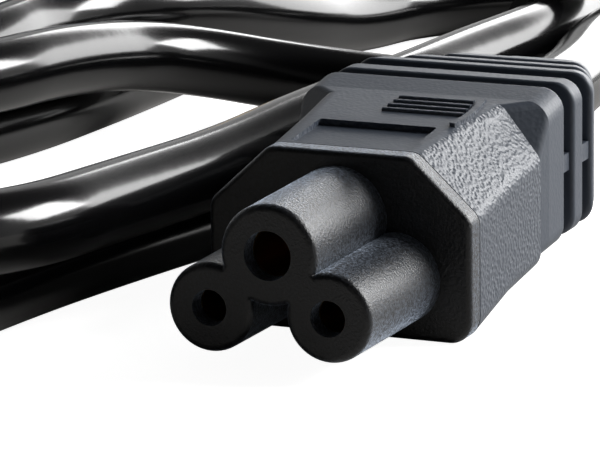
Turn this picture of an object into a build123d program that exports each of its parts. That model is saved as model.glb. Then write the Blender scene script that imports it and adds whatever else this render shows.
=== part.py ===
from build123d import *
import os
from math import atan2, cos, degrees, pi, radians, sin, tan

# Cloverleaf power cord: an appliance connector with three round barrels, a round cord folded into a loose
# hank, and a three-pin mains plug.
# Millimetres. X runs to the right, Y from the barrels to the cord, Z up. The table is at Z = 0, and Y = 0
# is the middle of the connector.

# Barrels of the connector
BARREL_LENGTH = 12.0
BARREL_DRAFT = 0.13
BARREL_EDGE = 0.5
LOBE_RADIUS = 3.07
HEAD_RADIUS = 3.48
LOBE_SPACING = 8.6
HEAD_RISE = 3.92
LOBE_HEIGHT = 4.33
LOBE_HOLE = 2.5
HEAD_HOLE = 3.4
FACE_WALL = 1.5

# Front plate, and the block behind it that carries the contacts
PLATE_WIDTH = 19.5
PLATE_HEIGHT = 12.84
PLATE_THICKNESS = 1.75
PLATE_SLANT_WIDTH = 4.49
PLATE_SLANT_HEIGHT = 4.17
PLATE_CORNER = 1.7
PLATE_SLANT_CORNER = 1.3
PLATE_EDGE = 0.4
SEAM_EDGE = 0.12
BLOCK_LENGTH = 7.0
BLOCK_WALL = 0.9
BLOCK_CORNER = 0.6

# Contacts: rolled sleeves with a funnel and a crimp
CONTACT_WALL = 0.35
CONTACT_CLEARANCE = 0.08
CONTACT_SETBACK = 0.15
SLEEVE_LENGTH = 8.5
SLEEVE_SLIT = 0.5
FUNNEL_LENGTH = 3.0
CRIMP_LENGTH = 4.2
COPPER_RADIUS = 0.5

# Cord
CORD_DIAMETER = 5.8
CORE_DIAMETER = 1.8
CORE_GAP = 0.04
CORE_BEND = 2.0
JACKET_CLEARANCE = 0.03
JACKET_LEAD = 24.0

# Soft housing of the connector
BODY_LENGTH = 12.25
BODY_SHOULDER = 6.6
SHOULDER_INSET = 0.1
SHOULDER_LOW = 1.3
SHOULDER_SLANT_WIDTH = 3.9
SHOULDER_SLANT_HEIGHT = 3.8
BODY_INSET = 0.2
BODY_LOW = 2.0
BODY_SLANT_WIDTH = 3.0
BODY_SLANT_HEIGHT = 3.8
BODY_CORNER = 1.4
COLLAR_LENGTH = 5.0
COLLAR_STEP = 0.22
COLLAR_TURN = 1.8
COLLAR_INSET = 0.25
COLLAR_LOW = 2.7
COLLAR_HIGH = 14.3
COLLAR_SLANT = 1.0
COLLAR_CORNER = 1.6
COLLAR_EDGE = 0.3

# Label recess, and the thumb grip of low bars beside a curved ridge, on top of the housing
LABEL_WIDTH = 8.85
LABEL_LENGTH = 5.2
LABEL_DEPTH = 0.45
LABEL_CORNER = 0.25
LABEL_SETBACK = 0.35
GRIP_SETBACK = 6.3
RIB_COUNT = 4
RIB_PITCH = 1.05
RIB_WIDTH = 0.5
RIB_HEIGHT = 0.22
RIB_LEFT = -0.9
RIB_RIGHT = 5.2
RIB_STEP = 0.15
RIB_SETBACK = 2.3
RIDGE_WIDTH = 0.45
RIDGE_HEIGHT = 0.25

# Line of the ridge on the top, X and the distance behind the front of the thumb grip
RIDGE_LINE = [(5.35, -0.3), (5.6, 1.6), (5.5, 3.9), (5.2, 6.1)]

# Ribbed strain relief of the connector
SLOT_COUNT = 4
SLOT_LENGTH = 2.0
RING_LENGTH = 2.0
NECK_LENGTH = 4.5
CORD_HEIGHT = 8.5
RELIEF_STRAIGHT = 6.4
RELIEF_INSET = 0.3
RELIEF_HALF_HEIGHT = 5.65
RELIEF_CORNER = 1.6
RELIEF_END_HALF_WIDTH = 4.0
RELIEF_END_HALF_HEIGHT = 3.8
SLOT_DEPTH = 3.4
SLOT_TOP_DEPTH = 1.5
SLOT_END_DEPTH = 0.5
SPINE_THICKNESS = 1.3
RING_EDGE = 0.35

# Tie round two strands of the hank
TIE_WIDTH = 5.0
TIE_THICKNESS = 1.0
TIE_CLEARANCE = 0.2
TIE_MIDDLE = (-5.0, 26.5, 9.12)
STRAND_SPACING = 6.05

# Far plug
PLUG_PLACE = (-90.4, 45.5)
PLUG_WIDTH = 26.0
PLUG_HEIGHT = 25.0
PLUG_CORNER = 8.0
PLUG_HEAD_LENGTH = 15.0
PLUG_GRIP_LENGTH = 13.0
PLUG_GRIP_SIZE = 17.0
PLUG_GRIP_CORNER = 5.0
PLUG_RELIEF_SIZE = 11.5
PLUG_RELIEF_CORNER = 4.0
PLUG_RELIEF_TIP = 8.6
PLUG_NECK_LENGTH = 2.4
PLUG_SLOT_COUNT = 6
PLUG_SLOT_LENGTH = 1.6
PLUG_RING_WALL = 1.0
PLUG_EDGE = 1.0
BRIDGE_THICKNESS = 2.0
BRIDGE_MARGIN = 1.6
BLADE_SPACING = 12.7
BLADE_WIDTH = 6.35
BLADE_THICKNESS = 1.52
BLADE_LENGTH = 17.5
BLADE_TAIL = 8.0
BLADE_TIP = 1.2
BLADE_TIP_SLOPE = 0.4
BLADE_HOLE = 3.6
BLADE_HOLE_SETBACK = 5.6
BLADE_RISE = 5.15
GROUND_DIAMETER = 4.8
GROUND_SHANK = 4.0
GROUND_LENGTH = 20.5
GROUND_OFFSET = 11.9
GROUND_TIP = 1.6
PLUG_CRIMP_LENGTH = 4.5
PLUG_JACKET_LEAD = 30.0

# The housing's half widths follow the plate's
SHOULDER_HALF_WIDTH = PLATE_WIDTH / 2 - SHOULDER_INSET
BODY_HALF_WIDTH = PLATE_WIDTH / 2 - BODY_INSET
COLLAR_HALF_WIDTH = PLATE_WIDTH / 2 - COLLAR_INSET
RELIEF_HALF_WIDTH = PLATE_WIDTH / 2 - RELIEF_INSET

# Distances along the connector
RELIEF_LENGTH = SLOT_COUNT * (SLOT_LENGTH + RING_LENGTH) + NECK_LENGTH
CONNECTOR_LENGTH = BARREL_LENGTH + PLATE_THICKNESS + BODY_LENGTH + COLLAR_LENGTH + RELIEF_LENGTH
FRONT = -CONNECTOR_LENGTH / 2
PLATE_FRONT = FRONT + BARREL_LENGTH
PLATE_BACK = PLATE_FRONT + PLATE_THICKNESS
BLOCK_BACK = PLATE_BACK + BLOCK_LENGTH
BODY_BACK = PLATE_BACK + BODY_LENGTH
COLLAR_BACK = BODY_BACK + COLLAR_LENGTH
CORD_EXIT = COLLAR_BACK + RELIEF_LENGTH

# Distances along the contacts
SLEEVE_FRONT = FRONT + FACE_WALL + CONTACT_SETBACK
FUNNEL_FRONT = SLEEVE_FRONT + SLEEVE_LENGTH
CRIMP_FRONT = FUNNEL_FRONT + FUNNEL_LENGTH
CRIMP_BACK = CRIMP_FRONT + CRIMP_LENGTH

# Distances along the plug, from the tip of its strain relief
PLUG_RELIEF_LENGTH = PLUG_SLOT_COUNT * (PLUG_SLOT_LENGTH + RING_LENGTH) + PLUG_NECK_LENGTH
PLUG_FACE = PLUG_RELIEF_LENGTH + PLUG_GRIP_LENGTH + PLUG_HEAD_LENGTH
PLUG_AXIS = PLUG_HEIGHT / 2

# Three cores of the cord lie in a triangle inside the jacket
CORE_RADIUS = CORE_DIAMETER / 2
CORE_CIRCLE = (CORE_DIAMETER + CORE_GAP) / (2 * sin(radians(60)))
JACKET_BORE = CORE_CIRCLE + CORE_RADIUS + JACKET_CLEARANCE

# Poles of the connector: name, place across the axis, radius of the barrel, diameter of the hole, and the
# angle of its core in the cord
POLES = [
    ("line", -LOBE_SPACING / 2, LOBE_HEIGHT, LOBE_RADIUS, LOBE_HOLE, 210),
    ("neutral", LOBE_SPACING / 2, LOBE_HEIGHT, LOBE_RADIUS, LOBE_HOLE, 330),
    ("earth", 0.0, LOBE_HEIGHT + HEAD_RISE, HEAD_RADIUS, HEAD_HOLE, 90),
]

# Route of the cord from the end of the connector's strain relief to the tip of the plug's. X and Z are in
# the part's frame, Y is measured from the connector's strain relief.
ROUTE = [
    # from the connector, rising beside the strand that it is tied to
    (0.0, 7.5, 8.5), (-1.9, 18.0, 9.2), (-2.0, 32.0, 9.2), (-0.3, 43.5, 6.6), (2.3, 54.5, 3.8),
    # round to the left on the table, then back over the strand behind the gap
    (-1.5, 65.5, 2.9), (-12.0, 73.0, 2.9), (-24.8, 73.6, 2.9), (-35.0, 65.5, 2.9), (-37.4, 52.8, 3.2),
    (-38.3, 39.0, 5.5), (-42.0, 26.0, 8.8), (-49.0, 15.5, 9.1), (-48.6, 0.0, 9.1),
    # left fold, down to the table
    (-53.0, -13.5, 9.1), (-61.5, -28.5, 7.2), (-65.0, -44.5, 3.8), (-63.5, -60.5, 2.9),
    (-52.0, -72.2, 2.9), (-36.0, -72.2, 2.9), (-24.3, -61.5, 2.9),
    # strand at the front, then the narrow fold behind the connector
    (-22.7, -44.0, 2.9), (-19.5, -28.0, 2.9), (-16.0, -14.5, 2.9), (-5.2, 0.5, 2.9), (-5.8, 14.8, 2.9),
    (-15.4, 24.3, 2.9), (-29.2, 25.1, 3.2),
    # second strand, then the left fold on top
    (-39.5, 16.0, 6.6), (-41.6, 2.5, 8.6), (-42.8, -10.0, 9.1), (-49.5, -24.5, 9.3), (-60.0, -39.0, 9.3),
    (-57.5, -55.5, 9.2), (-45.3, -66.3, 9.2), (-29.3, -66.1, 9.2), (-17.5, -55.3, 9.0),
    # strand that passes close behind the connector, and the far fold
    (-16.0, -39.5, 8.4), (-14.4, -27.5, 8.1), (-13.1, -15.5, 8.6), (-10.6, -3.5, 9.0), (-9.6, 8.5, 9.1),
    (-8.1, 20.5, 9.1), (-8.0, 33.5, 9.0), (-6.5, 48.5, 8.9), (-7.0, 63.5, 9.2), (-5.5, 78.5, 8.6),
    (-7.0, 93.5, 5.6), (-18.0, 105.8, 3.2), (-35.3, 106.4, 2.9), (-47.5, 95.0, 2.9), (-48.0, 77.5, 2.9),
    # strand behind the gap, then out to the left and up to the plug
    (-46.0, 58.5, 2.9), (-44.8, 39.5, 2.9), (-45.0, 19.5, 2.9), (-46.2, 2.5, 2.9), (-51.0, -12.8, 2.9),
    (-63.3, -20.2, 2.9), (-77.7, -17.8, 2.9), (-87.6, -7.2, 2.9), (-89.9, 7.5, 4.3), (-90.2, 21.0, 9.3),
    (-90.4, 34.0, 12.5),
]


def across(y):
    """Plane across the axis at y, with its X to the right and its Y up."""
    return Plane((0, y, 0), x_dir=(1, 0, 0), z_dir=(0, -1, 0))


def rod(x, z, start, end, radius, end_radius=None):
    """Round rod or cone along Y."""
    place = Plane((x, start, z), x_dir=(1, 0, 0), z_dir=(0, 1, 0))
    stand = (Align.CENTER, Align.CENTER, Align.MIN)
    if end_radius is None:
        return place * Cylinder(radius, end - start, align=stand)
    return place * Cone(radius, end_radius, end - start, align=stand)


def pipe(x, z, start, end, radius, wall):
    """Round tube along Y, radius being its inside."""
    return rod(x, z, start, end, radius + wall) - rod(x, z, start, end, radius)


def slant_section(y, half_width, low, high, slant_width, slant_height, low_corner, high_corner):
    """Cross-section with rounded lower corners and slanted, rounded upper ones."""
    points = [
        (-half_width, low), (half_width, low), (half_width, high - slant_height),
        (half_width - slant_width, high), (slant_width - half_width, high), (-half_width, high - slant_height),
    ]
    radii = [low_corner, low_corner, high_corner, high_corner, high_corner, high_corner]
    return across(y) * make_face(FilletPolyline(*points, radius=radii, close=True).edges())


def round_section(y, half_width, half_height, corner, z=0.0):
    """Rounded rectangle across the axis."""
    return across(y) * (Pos(0, z) * RectangleRounded(2 * half_width, 2 * half_height, corner))


def top_height(y):
    """Height of the housing's top, which rises steadily from the plate to the back of the collar."""
    share = (y - PLATE_FRONT) / (COLLAR_BACK - PLATE_FRONT)
    return PLATE_HEIGHT + share * (COLLAR_HIGH - PLATE_HEIGHT)


def top_plane(y):
    """Plane that lies on the housing's sloping top at y."""
    slope = atan2(COLLAR_HIGH - PLATE_HEIGHT, COLLAR_BACK - PLATE_FRONT)
    return Plane((0, y, top_height(y)), x_dir=(1, 0, 0), z_dir=(0, -sin(slope), cos(slope)))


def plate_section(y):
    """Outline of the front plate and of the housing where they meet."""
    return slant_section(y, PLATE_WIDTH / 2, 0.0, PLATE_HEIGHT, PLATE_SLANT_WIDTH, PLATE_SLANT_HEIGHT,
                         PLATE_CORNER, PLATE_SLANT_CORNER)


def contact_bore(hole):
    """Radius of the room for a contact."""
    return hole / 2 + CONTACT_WALL + CONTACT_CLEARANCE


def carrier_block():
    """Block behind the plate, which the housing is moulded round."""
    reach = contact_bore(LOBE_HOLE) + BLOCK_WALL
    low = LOBE_HEIGHT - reach
    high = LOBE_HEIGHT + HEAD_RISE + contact_bore(HEAD_HOLE) + BLOCK_WALL
    width = LOBE_SPACING + 2 * reach
    outline = Pos(0, (low + high) / 2) * RectangleRounded(width, high - low, BLOCK_CORNER)
    return extrude(across(PLATE_BACK) * outline, amount=BLOCK_LENGTH, dir=(0, 1, 0))


def contact_carrier():
    """Barrels, plate and block in one moulding, with a stepped bore for each contact."""
    barrels = [rod(x, z, FRONT, PLATE_FRONT, radius, radius + BARREL_DRAFT)
               for name, x, z, radius, hole, angle in POLES]
    trefoil = barrels[0] + barrels[1] + barrels[2]
    rims = trefoil.edges().filter_by_position(Axis.Y, FRONT - 0.01, FRONT + 0.01)
    trefoil = fillet(rims, BARREL_EDGE)
    plate = extrude(plate_section(PLATE_FRONT), amount=PLATE_THICKNESS, dir=(0, 1, 0))
    plate = fillet(plate.edges().filter_by_position(Axis.Y, PLATE_FRONT - 0.01, PLATE_FRONT + 0.01), PLATE_EDGE)
    plate = chamfer(plate.edges().filter_by_position(Axis.Y, PLATE_BACK - 0.01, PLATE_BACK + 0.01), SEAM_EDGE)
    body = trefoil + plate + carrier_block()
    for name, x, z, radius, hole, angle in POLES:
        body -= rod(x, z, FRONT, FRONT + FACE_WALL, hole / 2)
        body -= rod(x, z, FRONT + FACE_WALL, BLOCK_BACK, contact_bore(hole))
    return body


def contact(x, z, hole):
    """Rolled sleeve with a slit along its top, a funnel and a crimp."""
    inner = hole / 2
    outer = inner + CONTACT_WALL
    sleeve = pipe(x, z, SLEEVE_FRONT, FUNNEL_FRONT, inner, CONTACT_WALL)
    slit = Pos(x, (SLEEVE_FRONT + FUNNEL_FRONT) / 2, z + outer) * Box(SLEEVE_SLIT, SLEEVE_LENGTH, 2 * inner)
    cone = rod(x, z, FUNNEL_FRONT, CRIMP_FRONT, outer, COPPER_RADIUS + CONTACT_WALL)
    cone -= rod(x, z, FUNNEL_FRONT, CRIMP_FRONT, inner, COPPER_RADIUS)
    return (sleeve - slit) + cone + pipe(x, z, CRIMP_FRONT, CRIMP_BACK, COPPER_RADIUS, CONTACT_WALL)


def copper(x, z, start, length):
    """Bared strands of a core, pressed into one round bundle."""
    return rod(x, z, start, start + length, COPPER_RADIUS)


def bundle_place(angle):
    """Place of a core inside the cord, from the cord's axis."""
    return CORE_CIRCLE * cos(radians(angle)), CORE_CIRCLE * sin(radians(angle))


def along(points, radius, bend):
    """Round rod along a path of straight runs joined by arcs."""
    path = FilletPolyline(*points, radius=bend)
    start = Plane(points[0], z_dir=path % 0)
    return sweep(start * Circle(radius), path=path)


def connector_core(x, z, angle):
    """Insulated core from the crimp to the end of the strain relief."""
    side, rise = bundle_place(angle)
    turn = BLOCK_BACK + CORE_BEND / 2
    join = CORD_EXIT - JACKET_LEAD - CORE_BEND / 4
    height = CORD_HEIGHT + rise
    points = [(x, CRIMP_BACK, z), (x, turn, z), (side, join, height), (side, CORD_EXIT, height)]
    return along(points, CORE_RADIUS, CORE_BEND)


def connector_jacket():
    """End of the cord's jacket that the strain relief is moulded on."""
    return pipe(0, CORD_HEIGHT, CORD_EXIT - JACKET_LEAD, CORD_EXIT, JACKET_BORE, CORD_DIAMETER / 2 - JACKET_BORE)


def housing_body():
    """Textured body of the housing and the smooth collar behind it, whose slants soon turn to round corners."""
    shoulder = PLATE_BACK + BODY_SHOULDER
    body = loft([
        plate_section(PLATE_BACK),
        slant_section(shoulder, SHOULDER_HALF_WIDTH, SHOULDER_LOW, top_height(shoulder), SHOULDER_SLANT_WIDTH,
                      SHOULDER_SLANT_HEIGHT, PLATE_CORNER, PLATE_SLANT_CORNER),
        slant_section(BODY_BACK, BODY_HALF_WIDTH, BODY_LOW, top_height(BODY_BACK), BODY_SLANT_WIDTH,
                      BODY_SLANT_HEIGHT, BODY_CORNER, BODY_CORNER),
    ], ruled=True)
    step = COLLAR_STEP
    turn = BODY_BACK + COLLAR_TURN
    collar = loft([
        slant_section(BODY_BACK, BODY_HALF_WIDTH - step, BODY_LOW + step, top_height(BODY_BACK) - step,
                      BODY_SLANT_WIDTH, BODY_SLANT_HEIGHT, BODY_CORNER, BODY_CORNER),
        slant_section(turn, COLLAR_HALF_WIDTH, COLLAR_LOW - step, top_height(turn) - step, COLLAR_SLANT,
                      COLLAR_SLANT, COLLAR_CORNER, COLLAR_CORNER),
        slant_section(COLLAR_BACK, COLLAR_HALF_WIDTH, COLLAR_LOW, COLLAR_HIGH, COLLAR_SLANT, COLLAR_SLANT,
                      COLLAR_CORNER, COLLAR_CORNER),
    ], ruled=True)
    rear = collar.edges().filter_by_position(Axis.Y, COLLAR_BACK - 0.01, COLLAR_BACK + 0.01)
    return body + fillet(rear, COLLAR_EDGE)


def relief_size(y, start, end, first, last):
    """Size of a tapered strain relief at y."""
    return first + (last - first) * (y - start) / (end - start)


def ring(start, front, back, edge):
    """One ring of a strain relief between two cross-sections, its outer edges rounded."""
    solid = loft([front, back], ruled=True)
    return fillet(solid.edges().filter_by(lambda e: abs(e.center().Y - start) < 1e-3
                                          or abs(e.center().Y - start - RING_LENGTH) < 1e-3), edge)


def connector_relief():
    """Core with two side spines, rings and a neck: two rings as wide as the collar, the rest tapering."""
    straight = COLLAR_BACK + RELIEF_STRAIGHT

    def section(y, side, rise):
        width, height = RELIEF_HALF_WIDTH, RELIEF_HALF_HEIGHT
        if y > straight:
            width = relief_size(y, straight, CORD_EXIT, RELIEF_HALF_WIDTH, RELIEF_END_HALF_WIDTH)
            height = relief_size(y, straight, CORD_EXIT, RELIEF_HALF_HEIGHT, RELIEF_END_HALF_HEIGHT)
        return round_section(y, width - side, height - rise, RELIEF_CORNER, CORD_HEIGHT)

    front = section(COLLAR_BACK, SLOT_DEPTH, SLOT_TOP_DEPTH)
    core = loft([front, section(CORD_EXIT, SLOT_END_DEPTH, SLOT_END_DEPTH)], ruled=True)
    outline = loft([section(y, RING_EDGE, RING_EDGE) for y in (COLLAR_BACK, straight, CORD_EXIT)], ruled=True)
    spine = Pos(0, (COLLAR_BACK + CORD_EXIT) / 2, CORD_HEIGHT) * Box(
        2 * RELIEF_HALF_WIDTH, RELIEF_LENGTH, SPINE_THICKNESS)
    relief = core + (outline & spine)
    for number in range(SLOT_COUNT):
        start = COLLAR_BACK + SLOT_LENGTH + number * (SLOT_LENGTH + RING_LENGTH)
        relief += ring(start, section(start, 0, 0), section(start + RING_LENGTH, 0, 0), RING_EDGE)
    neck = [section(y, RING_EDGE, RING_EDGE) for y in (CORD_EXIT - NECK_LENGTH, CORD_EXIT)]
    return relief + loft(neck, ruled=True)


def label_recess():
    """Shallow rectangle cut into the top behind the plate."""
    middle = PLATE_BACK + LABEL_SETBACK + LABEL_LENGTH / 2
    outline = top_plane(middle) * RectangleRounded(LABEL_WIDTH, LABEL_LENGTH, LABEL_CORNER)
    return extrude(outline, amount=LABEL_DEPTH, both=True)


def grip_plane():
    """Plane on the top at the front of the thumb grip."""
    return top_plane(PLATE_BACK + GRIP_SETBACK)


def grip_bars():
    """Low half-round bars across the top, each a little shorter than the one before it."""
    bars = []
    for number in range(RIB_COUNT):
        right = RIB_RIGHT - number * RIB_STEP
        place = Pos((RIB_LEFT + right) / 2, RIB_SETBACK + number * RIB_PITCH)
        bar = place * Box(right - RIB_LEFT, RIB_WIDTH, 2 * RIB_HEIGHT)
        bar = fillet(bar.edges().filter_by(Axis.X).group_by(Axis.Z)[-1], RIB_HEIGHT * 0.9)
        bars.append(grip_plane() * bar)
    return bars


def grip_ridge():
    """Curved ridge at the right end of the bars."""
    outline = trace(Spline(*RIDGE_LINE), RIDGE_WIDTH)
    return extrude(grip_plane() * outline, amount=RIDGE_HEIGHT, both=True)


def connector_housing(cores):
    """Soft moulding with the body, collar and strain relief, cut by what it is moulded round."""
    housing = housing_body() + connector_relief()
    housing -= label_recess()
    for bar in grip_bars():
        housing += bar
    housing += grip_ridge()
    housing -= carrier_block()
    housing -= rod(0, CORD_HEIGHT, CORD_EXIT - JACKET_LEAD, CORD_EXIT, CORD_DIAMETER / 2)
    for core in cores:
        housing -= core
    return housing


def bend_radii(points):
    """Radius of each corner of a route: 0.45 of its shorter run over the tangent of half the turn."""
    radii = []
    for before, here, after in zip(points, points[1:], points[2:]):
        into = Vector(here) - Vector(before)
        away = Vector(after) - Vector(here)
        turn = into.get_angle(away)
        radii.append(0.45 * min(into.length, away.length) / tan(radians(turn) / 2))
    return radii


def cord_points():
    """Route of the cord, from the connector's strain relief to the plug's."""
    points = [(0.0, CORD_EXIT, CORD_HEIGHT)]
    points += [(x, CORD_EXIT + y, z) for x, y, z in ROUTE]
    points.append((PLUG_PLACE[0], CORD_EXIT + PLUG_PLACE[1], PLUG_AXIS))
    return points


def cord_sheath():
    """Round cord between the two strain reliefs."""
    points = cord_points()
    radii = bend_radii(points)
    print("cord radii", [round(radius, 1) for radius in radii])
    path = FilletPolyline(*points, radius=radii)
    tube = sweep(Plane(points[0], z_dir=path % 0) * Circle(CORD_DIAMETER / 2), path=path)
    expected = pi * (CORD_DIAMETER / 2) ** 2 * path.length
    print("cord length", round(path.length, 1), "volume ratio", round(tube.volume / expected, 4))
    return tube


def cord_tie():
    """Flat band round two strands that lie side by side."""
    inner = CORD_DIAMETER / 2 + TIE_CLEARANCE
    outer = inner + TIE_THICKNESS
    x, y, z = TIE_MIDDLE
    hole = SlotCenterToCenter(STRAND_SPACING, 2 * inner)
    band = SlotCenterToCenter(STRAND_SPACING, 2 * outer) - hole
    place = across(CORD_EXIT + y - TIE_WIDTH / 2) * Pos(x, z)
    return extrude(place * band, amount=TIE_WIDTH, dir=(0, 1, 0))


def plug_outline(y, width, height, corner):
    """Rounded rectangle across the plug, round its axis."""
    return across(y) * RectangleRounded(width, height, corner)


def plug_relief():
    """Core, rings and neck of the plug's strain relief, growing from the cord to the grip."""
    def size(y):
        return relief_size(y, 0, PLUG_RELIEF_LENGTH, PLUG_RELIEF_TIP, PLUG_RELIEF_SIZE)

    def corner(y):
        return size(y) * 0.35

    def section(y, less):
        return plug_outline(y, size(y) - 2 * less, size(y) - 2 * less, corner(y) - less)

    relief = loft([section(0, PLUG_RING_WALL), section(PLUG_RELIEF_LENGTH, PLUG_RING_WALL)], ruled=True)
    relief += loft([section(0, RING_EDGE), section(PLUG_NECK_LENGTH, RING_EDGE)], ruled=True)
    for number in range(PLUG_SLOT_COUNT):
        start = PLUG_NECK_LENGTH + number * (PLUG_SLOT_LENGTH + RING_LENGTH)
        relief += ring(start, section(start, 0), section(start + RING_LENGTH, 0), RING_EDGE)
    return relief


def plug_shell():
    """Grip and head of the plug: the grip widens to the head, which is a straight block."""
    grip = PLUG_RELIEF_LENGTH + PLUG_GRIP_LENGTH
    flare = loft([
        plug_outline(PLUG_RELIEF_LENGTH, PLUG_RELIEF_SIZE, PLUG_RELIEF_SIZE, PLUG_RELIEF_CORNER),
        plug_outline(PLUG_RELIEF_LENGTH + PLUG_GRIP_LENGTH / 2, PLUG_GRIP_SIZE, PLUG_GRIP_SIZE, PLUG_GRIP_CORNER),
        plug_outline(grip, PLUG_WIDTH, PLUG_HEIGHT, PLUG_CORNER),
    ], ruled=True)
    head = extrude(plug_outline(grip, PLUG_WIDTH, PLUG_HEIGHT, PLUG_CORNER), amount=PLUG_HEAD_LENGTH, dir=(0, 1, 0))
    rim = head.edges().filter_by_position(Axis.Y, PLUG_FACE - 0.01, PLUG_FACE + 0.01)
    return flare + fillet(rim, PLUG_EDGE)


def plug_bridge_block():
    """Hard plate that holds the blades in the face of the plug."""
    outline = plug_outline(PLUG_FACE - BRIDGE_THICKNESS, PLUG_WIDTH - 2 * BRIDGE_MARGIN,
                           PLUG_HEIGHT - 2 * BRIDGE_MARGIN, PLUG_CORNER - BRIDGE_MARGIN)
    return extrude(outline, amount=BRIDGE_THICKNESS, dir=(0, 1, 0))


def plug_crimp(x, z, tail):
    """Crimp behind the tail of a blade or pin."""
    back = PLUG_FACE - tail
    return pipe(x, z, back - PLUG_CRIMP_LENGTH, back, COPPER_RADIUS, CONTACT_WALL)


def plug_blade(x):
    """Flat blade with a bevelled tip and a round hole, its tail in the head of the plug."""
    half = BLADE_THICKNESS / 2
    back = PLUG_FACE - BLADE_TAIL
    end = PLUG_FACE + BLADE_LENGTH
    outline = Polyline((x - half, back), (x + half, back), (x + half, end - BLADE_TIP),
                       (x + half - BLADE_TIP_SLOPE, end), (x - half + BLADE_TIP_SLOPE, end),
                       (x - half, end - BLADE_TIP), close=True)
    low = Pos(0, 0, BLADE_RISE - BLADE_WIDTH / 2)
    blade = extrude(low * make_face(outline.edges()), amount=BLADE_WIDTH, dir=(0, 0, 1))
    place = Plane((x, PLUG_FACE + BLADE_LENGTH - BLADE_HOLE_SETBACK, BLADE_RISE), z_dir=(1, 0, 0))
    blade -= place * Cylinder(BLADE_HOLE / 2, 2 * BLADE_THICKNESS)
    return blade + plug_crimp(x, BLADE_RISE, BLADE_TAIL)


def plug_ground():
    """Round pin with a domed tip below the blades, and a thinner shank inside the head."""
    z = BLADE_RISE - GROUND_OFFSET
    pin = rod(0, z, PLUG_FACE, PLUG_FACE + GROUND_LENGTH, GROUND_DIAMETER / 2)
    tip = pin.edges().filter_by_position(Axis.Y, PLUG_FACE + GROUND_LENGTH - 0.01, PLUG_FACE + GROUND_LENGTH + 0.01)
    shank = rod(0, z, PLUG_FACE - BLADE_TAIL, PLUG_FACE, GROUND_SHANK / 2)
    return fillet(tip, GROUND_TIP) + shank + plug_crimp(0, z, BLADE_TAIL)


# Poles of the plug: name, place across the axis, and the angle of its core in the cord
PLUG_POLES = [
    ("line", -BLADE_SPACING / 2, BLADE_RISE, 150),
    ("neutral", BLADE_SPACING / 2, BLADE_RISE, 30),
    ("ground", 0.0, BLADE_RISE - GROUND_OFFSET, 270),
]


def plug_core(x, z, angle):
    """Insulated core from the tip of the plug's strain relief to a crimp."""
    side, rise = bundle_place(angle)
    end = PLUG_FACE - BLADE_TAIL - PLUG_CRIMP_LENGTH
    turn = end - CORE_BEND
    bend = PLUG_JACKET_LEAD + CORE_BEND / 2
    points = [(side, 0, rise), (side, bend, rise), (x, turn, z), (x, end, z)]
    return along(points, CORE_RADIUS, CORE_BEND)


def plug_jacket():
    """End of the cord's jacket inside the plug."""
    return pipe(0, 0, 0, PLUG_JACKET_LEAD, JACKET_BORE, CORD_DIAMETER / 2 - JACKET_BORE)


def plug_housing(metal, cores):
    """Soft moulding of the plug, cut by what it is moulded round."""
    housing = plug_shell() + plug_relief()
    housing -= plug_bridge_block()
    housing -= rod(0, 0, 0, PLUG_JACKET_LEAD, CORD_DIAMETER / 2)
    for piece in metal + cores:
        housing -= piece
    return housing


def plug_pieces():
    """All pieces of the plug by name, where the cord's last point puts them."""
    line = plug_blade(-BLADE_SPACING / 2)
    neutral = plug_blade(BLADE_SPACING / 2)
    ground = plug_ground()
    metal = [line, neutral, ground]
    cores = [plug_core(x, z, angle) for name, x, z, angle in PLUG_POLES]
    strands = PLUG_FACE - BLADE_TAIL - PLUG_CRIMP_LENGTH
    coppers = [copper(x, z, strands, PLUG_CRIMP_LENGTH) for name, x, z, angle in PLUG_POLES]
    bridge = plug_bridge_block()
    for piece in metal:
        bridge -= piece
    pieces = {
        "plug_housing": plug_housing(metal + coppers, cores),
        "plug_bridge": bridge,
        "plug_line_blade": line,
        "plug_neutral_blade": neutral,
        "plug_ground_pin": ground,
        "plug_cord_jacket": plug_jacket(),
    }
    for pole, core, strand in zip(PLUG_POLES, cores, coppers):
        pieces["plug_" + pole[0] + "_core"] = core
        pieces["plug_" + pole[0] + "_copper"] = strand
    place = Pos(PLUG_PLACE[0], CORD_EXIT + PLUG_PLACE[1], PLUG_AXIS)
    return {name: place * piece for name, piece in pieces.items()}


def connector_pieces():
    """All pieces of the connector by name."""
    cores = {name: connector_core(x, z, angle) for name, x, z, radius, hole, angle in POLES}
    pieces = {"contact_carrier": contact_carrier(), "connector_housing": connector_housing(cores.values())}
    for name, x, z, radius, hole, angle in POLES:
        pieces[name + "_contact"] = contact(x, z, hole)
        pieces[name + "_copper"] = copper(x, z, CRIMP_FRONT, CRIMP_LENGTH)
        pieces[name + "_core"] = cores[name]
    pieces["connector_cord_jacket"] = connector_jacket()
    return pieces


def main():
    os.makedirs("parts", exist_ok=True)
    pieces = connector_pieces()
    pieces["cord_sheath"] = cord_sheath()
    pieces["cord_tie"] = cord_tie()
    pieces.update(plug_pieces())
    for name, piece in pieces.items():
        export_step(piece, "parts/" + name + ".step")


main()
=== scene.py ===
import bpy
from math import cos, radians, sin
from mathutils import Matrix, Vector


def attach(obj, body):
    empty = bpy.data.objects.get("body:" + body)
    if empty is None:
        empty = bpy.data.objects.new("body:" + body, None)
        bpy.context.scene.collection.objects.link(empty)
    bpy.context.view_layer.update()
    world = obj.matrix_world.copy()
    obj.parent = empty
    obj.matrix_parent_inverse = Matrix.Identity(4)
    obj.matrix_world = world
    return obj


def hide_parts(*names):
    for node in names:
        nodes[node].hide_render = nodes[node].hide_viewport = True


# Cord, in metres
CORD_DIAMETER = 0.0058

# Patterns, in repeats for each metre
JACKET_HAZE = 90.0
JACKET_WAVES = 650.0
PEBBLES = 3300.0
MOTTLES = 5200.0
PLAIN_HAZE = 1500.0

# Refraction of the two plastics
PVC_IOR = 1.53
NYLON_IOR = 1.5

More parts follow.
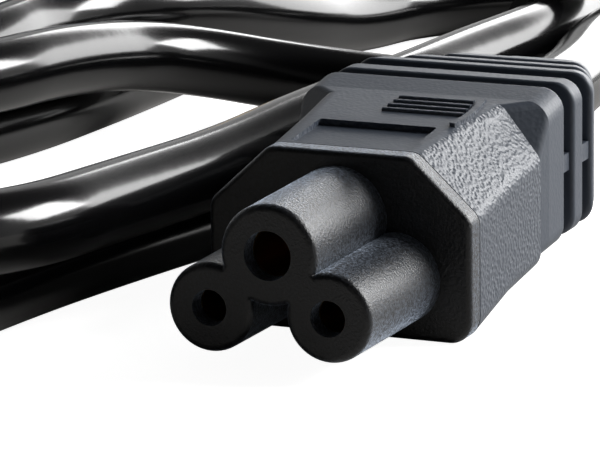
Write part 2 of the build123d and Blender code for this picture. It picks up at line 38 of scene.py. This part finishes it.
# Where the smooth collar begins along Y; all behind it is smooth too, the plug as well
COLLAR_START = 0.00025

# Camera of the photograph: turns in degrees, place in metres, lens and sensor in millimetres
CAMERA_YAW = 23.67
CAMERA_PITCH = 13.36
CAMERA_ROLL = -0.76
CAMERA_PLACE = (0.12068, -0.29558, 0.08054)
CAMERA_LENS = 276.0
CAMERA_SENSOR = 36.0

# Floor
FLOOR_SIZE = 6.0
FLOOR_GLOW = 0.95

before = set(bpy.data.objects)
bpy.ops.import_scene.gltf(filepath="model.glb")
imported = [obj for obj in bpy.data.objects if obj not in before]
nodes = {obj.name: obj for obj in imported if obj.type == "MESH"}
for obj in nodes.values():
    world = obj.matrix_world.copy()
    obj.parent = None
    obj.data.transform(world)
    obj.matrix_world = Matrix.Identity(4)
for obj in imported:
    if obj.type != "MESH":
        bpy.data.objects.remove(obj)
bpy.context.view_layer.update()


# Materials

def linear(hex_colour):
    """sRGB hex value as linear red, green, blue and alpha."""
    channels = []
    for start in (0, 2, 4):
        value = int(hex_colour[start:start + 2], 16) / 255
        channels.append(value / 12.92 if value <= 0.04045 else ((value + 0.055) / 1.055) ** 2.4)
    return (*channels, 1.0)


def add(tree, kind, settings=None, values=None, links=None):
    """Node of a kind, with its settings, its sockets' values and what is linked into them."""
    node = tree.nodes.new(kind)
    for name, value in (settings or {}).items():
        setattr(node, name, value)
    for socket, value in (values or {}).items():
        node.inputs[socket].default_value = value
    for socket, source in (links or {}).items():
        tree.links.new(source, node.inputs[socket])
    return node


def blank_material(name):
    """New material with its shader, and the tree to build on."""
    material = bpy.data.materials.new(name)
    material.use_nodes = True
    tree = material.node_tree
    tree.nodes.clear()
    shader = add(tree, "ShaderNodeBsdfPrincipled")
    add(tree, "ShaderNodeOutputMaterial", links={"Surface": shader.outputs["BSDF"]})
    return material, tree, shader


def pvc_jacket():
    """Extruded soft PVC: black, with broad clear highlights that a little haze softens, and faint waves."""
    material, tree, shader = blank_material("extruded_pvc_jacket")
    place = add(tree, "ShaderNodeTexCoord").outputs["Object"]
    haze = add(tree, "ShaderNodeTexNoise", values={"Scale": JACKET_HAZE, "Detail": 3.0},
               links={"Vector": place})
    rough = add(tree, "ShaderNodeMapRange", values={"To Min": 0.13, "To Max": 0.18},
                links={"Value": haze.outputs["Fac"]})
    # skin of 1.5 mm waves, as the jacket leaves the extruder
    skin = add(tree, "ShaderNodeTexNoise", values={"Scale": JACKET_WAVES, "Detail": 2.0},
               links={"Vector": place})
    bump = add(tree, "ShaderNodeBump", values={"Strength": 0.03, "Distance": 0.0002},
               links={"Height": skin.outputs["Fac"]})
    shader.inputs["Base Color"].default_value = linear("070708")
    shader.inputs["IOR"].default_value = PVC_IOR
    tree.links.new(rough.outputs["Result"], shader.inputs["Roughness"])
    tree.links.new(bump.outputs["Normal"], shader.inputs["Normal"])
    return material


def grained_pvc():
    """Moulded PVC, bluish grey: spark-eroded grain on slants and sides, nearly smooth on top and collar."""
    material, tree, shader = blank_material("spark_grained_pvc")
    coordinates = add(tree, "ShaderNodeTexCoord")
    place = coordinates.outputs["Object"]
    # pebbles 0.3 mm from top to top
    grain = add(tree, "ShaderNodeTexVoronoi", {"feature": "SMOOTH_F1"}, {"Scale": PEBBLES, "Smoothness": 0.6},
                {"Vector": place})
    axes = add(tree, "ShaderNodeSeparateXYZ", links={"Vector": place})
    facing = add(tree, "ShaderNodeSeparateXYZ", links={"Vector": coordinates.outputs["Normal"]})
    collar = add(tree, "ShaderNodeMath", {"operation": "GREATER_THAN"}, {1: COLLAR_START},
                 {0: axes.outputs["Y"]})
    # faces within about 26 degrees of level count as the top
    level = add(tree, "ShaderNodeMath", {"operation": "GREATER_THAN"}, {1: 0.9},
                {0: facing.outputs["Z"]})
    smooth = add(tree, "ShaderNodeMath", {"operation": "MAXIMUM"},
                 links={0: collar.outputs[0], 1: level.outputs[0]})
    strength = add(tree, "ShaderNodeMapRange", values={"To Min": 1.0, "To Max": 0.15},
                   links={"Value": smooth.outputs[0]})
    rough = add(tree, "ShaderNodeMapRange", values={"To Min": 0.42, "To Max": 0.5},
                links={"Value": smooth.outputs[0]})
    bump = add(tree, "ShaderNodeBump", values={"Distance": 0.00009},
               links={"Strength": strength.outputs["Result"], "Height": grain.outputs["Distance"]})
    shader.inputs["Base Color"].default_value = linear("3a414c")
    shader.inputs["IOR"].default_value = PVC_IOR
    tree.links.new(rough.outputs["Result"], shader.inputs["Roughness"])
    tree.links.new(bump.outputs["Normal"], shader.inputs["Normal"])
    return material


def carrier_nylon():
    """Moulded nylon: near black where it faces the eye, a finely mottled grey sheen where it turns away."""
    material, tree, shader = blank_material("moulded_nylon")
    place = add(tree, "ShaderNodeTexCoord").outputs["Object"]
    # mottles 0.2 mm wide
    grain = add(tree, "ShaderNodeTexNoise", values={"Scale": MOTTLES, "Detail": 3.0, "Roughness": 0.6},
                links={"Vector": place})
    bump = add(tree, "ShaderNodeBump", values={"Strength": 0.9, "Distance": 0.00006},
               links={"Height": grain.outputs["Fac"]})
    sheen = add(tree, "ShaderNodeMapRange",
                values={"From Min": 0.4, "From Max": 0.6, "To Min": 0.05, "To Max": 1.0},
                links={"Value": grain.outputs["Fac"]})
    shader.inputs["Base Color"].default_value = linear("08080a")
    shader.inputs["IOR"].default_value = NYLON_IOR
    shader.inputs["Roughness"].default_value = 0.36
    shader.inputs["Sheen Roughness"].default_value = 0.4
    shader.inputs["Sheen Tint"].default_value = linear("c4d2e6")
    tree.links.new(sheen.outputs["Result"], shader.inputs["Sheen Weight"])
    tree.links.new(bump.outputs["Normal"], shader.inputs["Normal"])
    return material


def plain_finish(name, colour, roughness, metallic=0.0):
    """Plain colour with a slightly uneven roughness."""
    material, tree, shader = blank_material(name)
    place = add(tree, "ShaderNodeTexCoord").outputs["Object"]
    haze = add(tree, "ShaderNodeTexNoise", values={"Scale": PLAIN_HAZE, "Detail": 3.0},
               links={"Vector": place})
    rough = add(tree, "ShaderNodeMapRange", values={"To Min": roughness * 0.8, "To Max": roughness * 1.2},
                links={"Value": haze.outputs["Fac"]})
    shader.inputs["Base Color"].default_value = linear(colour)
    shader.inputs["Metallic"].default_value = metallic
    tree.links.new(rough.outputs["Result"], shader.inputs["Roughness"])
    return material


def dress(node, material):
    """Puts a material in a CAD node's slots."""
    for slot in nodes[node].material_slots:
        slot.material = material


# Camera, at the photograph's angle

def set_camera():
    """Long lens from the front right, turned a little about its own line of sight."""
    yaw, pitch, roll = radians(CAMERA_YAW), radians(CAMERA_PITCH), radians(CAMERA_ROLL)
    back = Vector((sin(yaw) * cos(pitch), -cos(yaw) * cos(pitch), sin(pitch)))
    right = Vector((0, 0, 1)).cross(back).normalized()
    up = back.cross(right)
    level_right = cos(roll) * right + sin(roll) * up
    level_up = cos(roll) * up - sin(roll) * right
    data = bpy.data.cameras.new("camera")
    data.lens = CAMERA_LENS
    data.sensor_width = CAMERA_SENSOR
    camera = bpy.data.objects.new("camera", data)
    bpy.context.scene.collection.objects.link(camera)
    turn = Matrix((level_right, level_up, back)).transposed().to_4x4()
    camera.matrix_world = Matrix.Translation(CAMERA_PLACE) @ turn
    bpy.context.scene.camera = camera


set_camera()

# Cord: its route from the connector's strain relief to the plug's, X, Y and Z in metres

ROUTE = [
    # from the connector, rising beside the strand that it is tied to
    (0.0, 0.02575, 0.0085), (0.0, 0.03325, 0.0085), (-0.0019, 0.04375, 0.0092), (-0.002, 0.05775, 0.0092),
    (-0.0003, 0.06925, 0.0066), (0.0023, 0.08025, 0.0038),
    # round to the left on the table, then back over the strand behind the gap
    (-0.0015, 0.08825, 0.0029), (-0.012, 0.09525, 0.0029), (-0.0248, 0.09585, 0.0029),
    (-0.035, 0.08775, 0.0029), (-0.0374, 0.07555, 0.0031), (-0.0383, 0.06475, 0.0055),
    (-0.042, 0.05175, 0.0088), (-0.049, 0.04125, 0.0091), (-0.0486, 0.02575, 0.0091),
    # left fold, down to the table
    (-0.053, 0.01225, 0.0091), (-0.0615, -0.00275, 0.0072), (-0.065, -0.01875, 0.0038),
    (-0.0635, -0.03475, 0.0029), (-0.052, -0.04645, 0.0029), (-0.036, -0.04645, 0.0029),
    (-0.0243, -0.03575, 0.0029),
    # strand at the front, then the narrow fold behind the connector
    (-0.0227, -0.01825, 0.0029), (-0.0195, -0.00225, 0.0029), (-0.016, 0.01125, 0.0029),
    (-0.0052, 0.02625, 0.0029), (-0.0058, 0.04055, 0.0029), (-0.0154, 0.05005, 0.0029),
    (-0.0292, 0.05085, 0.0032),
    # second strand, then the left fold on top
    (-0.0395, 0.04175, 0.0066), (-0.0416, 0.02825, 0.0086), (-0.0428, 0.01575, 0.0091),
    (-0.0495, 0.00125, 0.0093), (-0.06, -0.01325, 0.0093), (-0.0575, -0.02975, 0.0092),
    (-0.0453, -0.04055, 0.0092), (-0.0293, -0.04035, 0.0092), (-0.0175, -0.02955, 0.009),
    # strand that passes close behind the connector, and the far fold
    (-0.016, -0.01375, 0.0084), (-0.0144, -0.00175, 0.0081), (-0.0131, 0.01025, 0.0086),
    (-0.0106, 0.02225, 0.009), (-0.0096, 0.03425, 0.0091), (-0.0081, 0.04625, 0.0091),
    (-0.008, 0.05925, 0.009), (-0.0065, 0.07425, 0.0089), (-0.007, 0.08925, 0.0092),
    (-0.0055, 0.10425, 0.0086), (-0.007, 0.11925, 0.0056), (-0.018, 0.13155, 0.0032),
    (-0.0353, 0.13215, 0.0029), (-0.0475, 0.12075, 0.0029), (-0.048, 0.10325, 0.0029),
    # strand behind the gap, then out to the left and up to the plug
    (-0.046, 0.08425, 0.0029), (-0.0448, 0.06525, 0.0029), (-0.045, 0.04525, 0.0029),
    (-0.0462, 0.02825, 0.0029), (-0.051, 0.01295, 0.0029), (-0.0633, 0.00555, 0.0029),
    (-0.0777, 0.00795, 0.0029), (-0.0876, 0.01855, 0.0029), (-0.0899, 0.03325, 0.0043),
    (-0.0902, 0.04675, 0.0093), (-0.0904, 0.05975, 0.0125), (-0.0904, 0.07125, 0.0125),
]


def lay_cord(material):
    """Cord on one smooth curve through the hank."""
    curve = bpy.data.curves.new("cord", "CURVE")
    curve.dimensions = "3D"
    spline = curve.splines.new("NURBS")
    spline.points.add(len(ROUTE) - 1)
    for point, place in zip(spline.points, ROUTE):
        point.co = (*place, 1.0)
    spline.order_u = 3
    spline.use_endpoint_u = True
    spline.resolution_u = 12
    curve.bevel_depth = CORD_DIAMETER / 2
    curve.bevel_resolution = 8
    curve.use_fill_caps = True
    curve.materials.append(material)
    cord = bpy.data.objects.new("cord", curve)
    bpy.context.scene.collection.objects.link(cord)
    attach(cord, "root")
    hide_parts("cord_sheath")
    return cord


cord_skin = pvc_jacket()
lay_cord(cord_skin)

# Finishes of the moulded and metal pieces

vinyl = grained_pvc()
nylon = carrier_nylon()
brass = plain_finish("drawn_brass", "c9a45c", 0.3, metallic=1.0)
copper = plain_finish("bare_copper", "c07a52", 0.4, metallic=1.0)
dress("connector_housing", vinyl)
dress("contact_carrier", nylon)
for pole in ("line", "neutral", "earth"):
    dress(pole + "_contact", brass)
    dress(pole + "_copper", copper)
for pole in ("line", "neutral", "ground"):
    dress("plug_" + pole + "_copper", copper)
for name in ("plug_line_blade", "plug_neutral_blade", "plug_ground_pin"):
    dress(name, brass)
for name in ("connector_cord_jacket", "plug_cord_jacket"):
    dress(name, cord_skin)
for name, colour in (("line", "141414"), ("neutral", "e6e6e2"), ("earth", "2f8a45")):
    dress(name + "_core", plain_finish(name + "_core_pvc", colour, 0.35))
for name, colour in (("line", "141414"), ("neutral", "e6e6e2"), ("ground", "2f8a45")):
    dress("plug_" + name + "_core", plain_finish("plug_" + name + "_core_pvc", colour, 0.35))
dress("plug_housing", vinyl)
dress("plug_bridge", nylon)
dress("cord_tie", plain_finish("dull_polyethylene", "161617", 0.5))


# Floor, backdrop and light

def white_floor():
    """White table: nearly pure white for the camera, and a plain pale grey for all other rays."""
    material, tree, shader = blank_material("white_laminate")
    rays = add(tree, "ShaderNodeLightPath")
    seen = add(tree, "ShaderNodeMath", {"operation": "MAXIMUM"},
               links={0: rays.outputs["Is Camera Ray"], 1: rays.outputs["Is Transmission Ray"]})
    glow = add(tree, "ShaderNodeMath", {"operation": "MULTIPLY"}, {1: FLOOR_GLOW}, {0: seen.outputs[0]})
    shader.inputs["Base Color"].default_value = linear("c9c7c4")
    shader.inputs["Roughness"].default_value = 0.6
    shader.inputs["Emission Color"].default_value = (1.0, 1.0, 1.0, 1.0)
    tree.links.new(glow.outputs[0], shader.inputs["Emission Strength"])
    return material


def set_floor():
    """Table top under the part."""
    bpy.ops.object.select_all(action="DESELECT")
    bpy.ops.mesh.primitive_plane_add(size=FLOOR_SIZE, location=(0, 0, 0))
    floor = bpy.context.object
    floor.name = "floor"
    floor.data.materials.append(white_floor())


def set_world():
    """Low grey band behind the table, near black overhead and in front, white for the camera."""
    world = bpy.data.worlds.new("room")
    bpy.context.scene.world = world
    world.use_nodes = True
    tree = world.node_tree
    tree.nodes.clear()
    direction = add(tree, "ShaderNodeTexCoord").outputs["Generated"]
    axes = add(tree, "ShaderNodeSeparateXYZ", links={"Vector": direction})
    low = add(tree, "ShaderNodeMapRange", {"interpolation_type": "SMOOTHSTEP"},
              {"From Min": 0.36, "From Max": 0.62, "To Min": 0.6, "To Max": 0.06},
              {"Value": axes.outputs["Z"]})
    behind = add(tree, "ShaderNodeMapRange", {"interpolation_type": "SMOOTHSTEP"},
                 {"From Min": -0.5, "From Max": 0.4, "To Min": 0.1, "To Max": 1.0},
                 {"Value": axes.outputs["Y"]})
    band = add(tree, "ShaderNodeMath", {"operation": "MULTIPLY"},
               links={0: low.outputs["Result"], 1: behind.outputs["Result"]})
    rays = add(tree, "ShaderNodeLightPath")
    level = add(tree, "ShaderNodeMath", {"operation": "MAXIMUM"},
                links={0: rays.outputs["Is Camera Ray"], 1: band.outputs[0]})
    background = add(tree, "ShaderNodeBackground", values={"Color": (1.0, 1.0, 1.0, 1.0)},
                     links={"Strength": level.outputs[0]})
    add(tree, "ShaderNodeOutputWorld", links={"Surface": background.outputs["Background"]})


def set_lamp(name, place, target, size, energy):
    """Rectangular softbox at a place, turned to a target."""
    data = bpy.data.lights.new(name, "AREA")
    data.shape = "RECTANGLE"
    data.size = size[0]
    data.size_y = size[1]
    data.energy = energy
    lamp = bpy.data.objects.new(name, data)
    bpy.context.scene.collection.objects.link(lamp)
    lamp.location = place
    lamp.rotation_euler = (Vector(target) - Vector(place)).to_track_quat("-Z", "Y").to_euler()


set_floor()
set_world()
set_lamp("softbox_behind", (0.25, 1.25, 0.36), (0, 0, 0.02), (1.5, 0.5), 14.0)
set_lamp("softbox_right", (0.7, 0.5, 0.55), (0, 0, 0), (0.5, 0.4), 13.0)
bpy.context.scene.view_settings.view_transform = "Standard"
